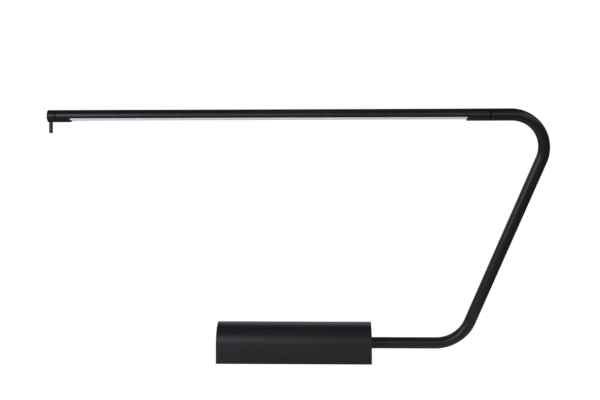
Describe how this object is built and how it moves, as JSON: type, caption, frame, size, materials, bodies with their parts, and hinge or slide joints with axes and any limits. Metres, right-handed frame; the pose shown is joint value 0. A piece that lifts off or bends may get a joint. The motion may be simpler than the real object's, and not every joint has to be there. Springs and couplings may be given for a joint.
{
  "type": "picture light",
  "caption": "Picture light with a D-section wall base, a swinging bent tube arm, a slim turning lamp bar with an opal strip, and a lever dimmer on the bar's free end.",
  "frame": {"origin": "centre of the base's flat wall face", "axes": "+X along the base towards the arm, +Z out of the wall face through the base, and the arm leans towards -Y at rest"},
  "size_m": [0.5219, 0.0954, 0.273],
  "materials": {
    "base_coat": "satin",
    "arm_coat": "satin",
    "bar_coat": "satin",
    "knob_coat": "satin",
    "opal": "satin",
    "zinc_steel": "satin",
    "black_steel": "matte",
    "bright_steel": "satin",
    "bush_bronze": "satin",
    "black_rubber": "matte",
    "white_plastic": "matte",
    "grey_plastic": "matte",
    "fibre": "matte",
    "sink_aluminium": "satin",
    "board_white": "satin",
    "lead_brown": "satin",
    "lead_blue": "satin",
    "lead_green": "satin"
  },
  "bodies": {
    "base": {"base_cover": "base_coat", "cover_screw_left": "black_steel", "cover_screw_right": "black_steel", "end_plate_left": "base_coat", "end_plate_right": "base_coat", "end_plate_screw_left_front": "zinc_steel", "end_plate_screw_left_back": "zinc_steel", "end_plate_screw_right_front": "zinc_steel", "end_plate_screw_right_back": "zinc_steel", "mounting_plate": "zinc_steel", "cable_grommet": "black_rubber", "terminal_block": "white_plastic", "terminal_screw_front": "zinc_steel", "terminal_screw_back": "zinc_steel", "led_driver": "white_plastic", "driver_screw_left": "zinc_steel", "driver_screw_right": "zinc_steel", "live_lead": "lead_brown", "neutral_lead": "lead_blue", "earth_lead": "lead_green", "earth_screw": "bush_bronze", "earth_tag": "bright_steel", "pivot_bracket": "black_steel", "bracket_screw_front": "zinc_steel", "bracket_screw_back": "zinc_steel", "pivot_bush_outer": "bush_bronze", "pivot_bush_inner": "bush_bronze"},
    "arm": {"arm_tube": "arm_coat", "arm_cable": "grey_plastic", "stop_collar": "black_steel", "stop_pin": "bright_steel", "collar_set_screw": "bright_steel", "thrust_washer": "fibre", "friction_washer": "fibre", "spring_washer": "bright_steel", "lock_nut": "zinc_steel", "swivel_spigot": "bright_steel", "swivel_washer": "black_rubber", "swivel_circlip": "bright_steel"},
    "head": {"bar_housing": "bar_coat", "swivel_bush": "bush_bronze", "heat_sink_bar": "sink_aluminium", "led_board": "board_white", "diffuser": "opal", "end_plug": "black_steel", "dimmer_body": "grey_plastic", "dimmer_lead": "lead_blue", "head_lead": "lead_brown"},
    "knob": {"dimmer_shaft": "bright_steel", "knob_washer": "black_rubber", "knob_cap": "knob_coat", "knob_lever": "knob_coat"}
  },
  "joints": [
    {"name": "arm_swing", "type": "hinge", "parent": "base", "child": "arm", "pos_m": [0.085, 0, 0.02], "axis": [1, 0, 0], "range_deg": [-105, 75]},
    {"name": "head_turn", "type": "hinge", "parent": "arm", "child": "head", "pos_m": [0.2036, -0.066, 0.26632], "axis": [1, 0, 0], "range_deg": [-120, 120]},
    {"name": "dimmer_turn", "type": "hinge", "parent": "head", "child": "knob", "pos_m": [-0.2458, -0.066, 0.26632], "axis": [1, 0, 0], "range_deg": [0, 270]}
  ]
}
